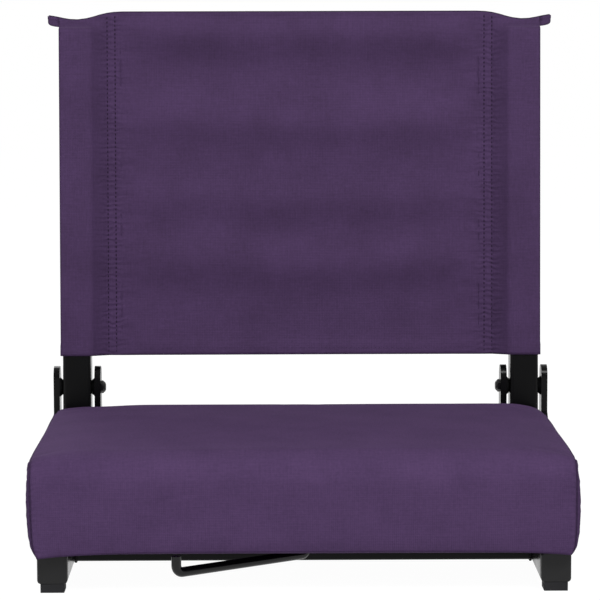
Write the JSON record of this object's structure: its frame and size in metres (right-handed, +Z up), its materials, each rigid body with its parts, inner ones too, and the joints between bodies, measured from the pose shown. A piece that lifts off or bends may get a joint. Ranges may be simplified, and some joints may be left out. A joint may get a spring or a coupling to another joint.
{
  "type": "folding bleacher chair",
  "caption": "Folding stadium chair for a bleacher: padded purple seat on black steel rails, a fabric sling back that folds flat, and a swivelling bench hook.",
  "frame": {"origin": "on the ground, under the middle of the chair's overall box, with the back upright", "axes": "+X to the right of someone who faces the chair, +Y to the back of the chair, +Z up"},
  "size_m": [0.449, 0.3726, 0.4558],
  "materials": {
    "frame_steel": "gloss black powder coat",
    "black_fasteners": "black oxide",
    "cap_plastic": "fine moulded grain",
    "spacer_plastic": "smooth",
    "foot_rubber": "matte",
    "seat_fabric": "fine plain weave, purple",
    "back_fabric": "fine plain weave, purple",
    "plywood": "raw",
    "foam": "open-cell foam",
    "zinc_hardware": "zinc plated"
  },
  "bodies": {
    "base": {"side_rail_left": "frame_steel", "side_rail_right": "frame_steel", "front_cross_tube": "frame_steel", "rear_cross_tube": "frame_steel", "front_cap_left": "cap_plastic", "front_cap_right": "cap_plastic", "rear_cap_left": "cap_plastic", "rear_cap_right": "cap_plastic", "front_foot_left": "foot_rubber", "front_foot_right": "foot_rubber", "rear_foot_left": "foot_rubber", "rear_foot_right": "foot_rubber", "bracket_left": "frame_steel", "bracket_right": "frame_steel", "pivot_bolt_left": "black_fasteners", "pivot_bolt_right": "black_fasteners", "pivot_nut_left": "black_fasteners", "pivot_nut_right": "black_fasteners", "pivot_spacers_left": "spacer_plastic", "pivot_spacers_right": "spacer_plastic", "seat_board": "plywood", "seat_foam": "foam", "seat_cover": "seat_fabric", "seat_bolts": "black_fasteners", "tee_nuts": "zinc_hardware", "hook_guide": "zinc_hardware", "hook_spring": "zinc_hardware"},
    "back": {"upright_left": "frame_steel", "upright_right": "frame_steel", "pivot_bush_left": "spacer_plastic", "pivot_bush_right": "spacer_plastic", "top_plug_left": "cap_plastic", "top_plug_right": "cap_plastic", "bottom_plug_left": "cap_plastic", "bottom_plug_right": "cap_plastic", "back_sling": "back_fabric"},
    "hook_slider": {"hook_washer": "zinc_hardware"},
    "hook": {"hook_rod": "frame_steel", "hook_clip": "zinc_hardware"}
  },
  "joints": [
    {"name": "back_fold", "type": "hinge", "parent": "base", "child": "back", "pos_m": [0, 0.12925, 0.1215], "axis": [1, 0, 0], "range_deg": [0, 91]},
    {"name": "hook_slide", "type": "slide", "parent": "base", "child": "hook_slider", "axis": [0, 0, -1], "range_m": [0, 0.045], "stiffness_N_per_m": 300, "springref_m": -0.02, "deforming": ["hook_spring"]},
    {"name": "hook_swivel", "type": "hinge", "parent": "hook_slider", "child": "hook", "pos_m": [0.003, -0.09075, 0.06], "axis": [0, 0, 1], "range_deg": [-34, 144]}
  ]
}
